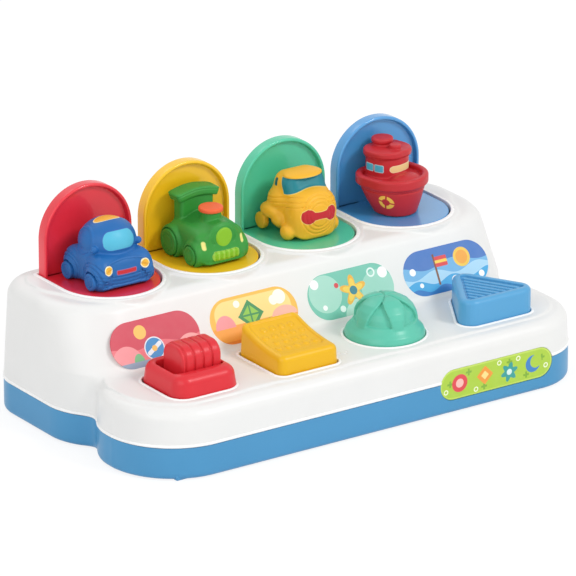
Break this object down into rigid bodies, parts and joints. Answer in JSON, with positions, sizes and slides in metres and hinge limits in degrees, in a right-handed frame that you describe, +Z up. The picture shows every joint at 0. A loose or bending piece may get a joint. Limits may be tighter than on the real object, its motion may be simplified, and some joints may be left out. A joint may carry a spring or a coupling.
{
  "type": "pop-up toy",
  "caption": "Pop-up vehicle toy: spring-loaded lids carry moulded vehicles on a two-tier housing, and a slide, rocker, dial or push button lets each one up.",
  "frame": {"origin": "on the ground under the middle of the housing's footprint", "axes": "+X along the length, to the right of a child facing the buttons; +Y to the back, where the lids stand; +Z up"},
  "size_m": [0.32, 0.1724, 0.1345],
  "materials": {
    "white_shell": "smooth white injection-moulded plastic, satin gloss",
    "tray_blue": "sky blue injection-moulded plastic, satin gloss",
    "red_plastic": "bright red moulded plastic, satin gloss",
    "yellow_plastic": "warm yellow moulded plastic, satin gloss",
    "green_plastic": "sea green moulded plastic, satin gloss",
    "blue_plastic": "sky blue moulded plastic, satin gloss",
    "car_blue": "mid blue soft-touch moulded plastic with painted details",
    "train_green": "leaf green soft-touch moulded plastic with painted details",
    "plane_yellow": "warm yellow soft-touch moulded plastic with painted details",
    "boat_red": "deep red soft-touch moulded plastic with painted details",
    "panel_print": "printed and laminated label",
    "front_print": "lime green printed and laminated label",
    "grey_plastic": "grey moulded plastic of the hidden latches",
    "steel": "bright drawn steel wire and pins"
  },
  "bodies": {
    "housing": {"top_shell": "white_shell", "base_tray": "tray_blue", "front_label": "front_print", "slider_frame": "red_plastic", "rocker_pin": "steel", "push_spring": "steel", "car_hinge_pin": "steel", "train_hinge_pin": "steel", "plane_hinge_pin": "steel", "boat_hinge_pin": "steel", "car_label": "panel_print", "train_label": "panel_print", "plane_label": "panel_print", "boat_label": "panel_print"},
    "slider": {"slider_knob": "red_plastic"},
    "rocker": {"rocker_key": "yellow_plastic"},
    "dial": {"dial_knob": "green_plastic"},
    "button": {"push_button": "blue_plastic"},
    "car_popup": {"car_lid": "red_plastic", "car_spring": "steel", "car_vehicle": "car_blue"},
    "car_catch": {"car_latch": "grey_plastic"},
    "train_popup": {"train_lid": "yellow_plastic", "train_spring": "steel", "train_vehicle": "train_green"},
    "train_catch": {"train_latch": "grey_plastic"},
    "plane_popup": {"plane_lid": "green_plastic", "plane_spring": "steel", "plane_vehicle": "plane_yellow"},
    "plane_catch": {"plane_latch": "grey_plastic"},
    "boat_popup": {"boat_lid": "blue_plastic", "boat_spring": "steel", "boat_vehicle": "boat_red"},
    "boat_catch": {"boat_latch": "grey_plastic"}
  },
  "joints": [
    {"name": "car_popup_swing", "type": "hinge", "parent": "housing", "child": "car_popup", "pos_m": [-0.105, 0.0615, 0.0795], "axis": [1, 0, 0], "range_deg": [0, 90], "stiffness_Nm_per_rad": 0.03, "springref_deg": -51.57},
    {"name": "train_popup_swing", "type": "hinge", "parent": "housing", "child": "train_popup", "pos_m": [-0.035, 0.0615, 0.0795], "axis": [1, 0, 0], "range_deg": [0, 90], "stiffness_Nm_per_rad": 0.03, "springref_deg": -51.57},
    {"name": "plane_popup_swing", "type": "hinge", "parent": "housing", "child": "plane_popup", "pos_m": [0.035, 0.0615, 0.0795], "axis": [1, 0, 0], "range_deg": [0, 90], "stiffness_Nm_per_rad": 0.03, "springref_deg": -51.57},
    {"name": "boat_popup_swing", "type": "hinge", "parent": "housing", "child": "boat_popup", "pos_m": [0.105, 0.0615, 0.0795], "axis": [1, 0, 0], "range_deg": [0, 90], "stiffness_Nm_per_rad": 0.03, "springref_deg": -51.57},
    {"name": "slider_slide", "type": "slide", "parent": "housing", "child": "slider", "axis": [-1, 0, 0], "range_m": [0, 0.005], "stiffness_N_per_m": 150, "springref_m": -0.003},
    {"name": "rocker_tilt", "type": "hinge", "parent": "housing", "child": "rocker", "pos_m": [-0.035, -0.04373, 0.0403], "axis": [1, 0, 0], "range_deg": [0, 8], "stiffness_Nm_per_rad": 0.3, "springref_deg": -5.73},
    {"name": "dial_turn", "type": "hinge", "parent": "housing", "child": "dial", "pos_m": [0.035, -0.048, 0.045], "axis": [0, 0, 1], "range_deg": [0, 60], "stiffness_Nm_per_rad": 0.04, "springref_deg": -17.19},
    {"name": "button_press", "type": "slide", "parent": "housing", "child": "button", "axis": [0, 0, -1], "range_m": [0, 0.005], "stiffness_N_per_m": 300, "springref_m": -0.003, "deforming": ["push_spring"]},
    {"name": "car_catch_slide", "type": "slide", "parent": "housing", "child": "car_catch", "axis": [-1, 0, 0], "range_m": [0, 0.0051]},
    {"name": "train_catch_slide", "type": "slide", "parent": "housing", "child": "train_catch", "axis": [-1, 0, 0], "range_m": [0, 0.0051]},
    {"name": "plane_catch_slide", "type": "slide", "parent": "housing", "child": "plane_catch", "axis": [-1, 0, 0], "range_m": [0, 0.0051]},
    {"name": "boat_catch_slide", "type": "slide", "parent": "housing", "child": "boat_catch", "axis": [-1, 0, 0], "range_m": [0, 0.0051]}
  ],
  "couplings": [
    {"joint": "car_catch_slide", "follows": "slider_slide", "ratio": 1},
    {"joint": "train_catch_slide", "follows": "rocker_tilt", "m_per_rad": 0.03581},
    {"joint": "plane_catch_slide", "follows": "dial_turn", "m_per_rad": 0.0047746},
    {"joint": "boat_catch_slide", "follows": "button_press", "ratio": 1}
  ]
}
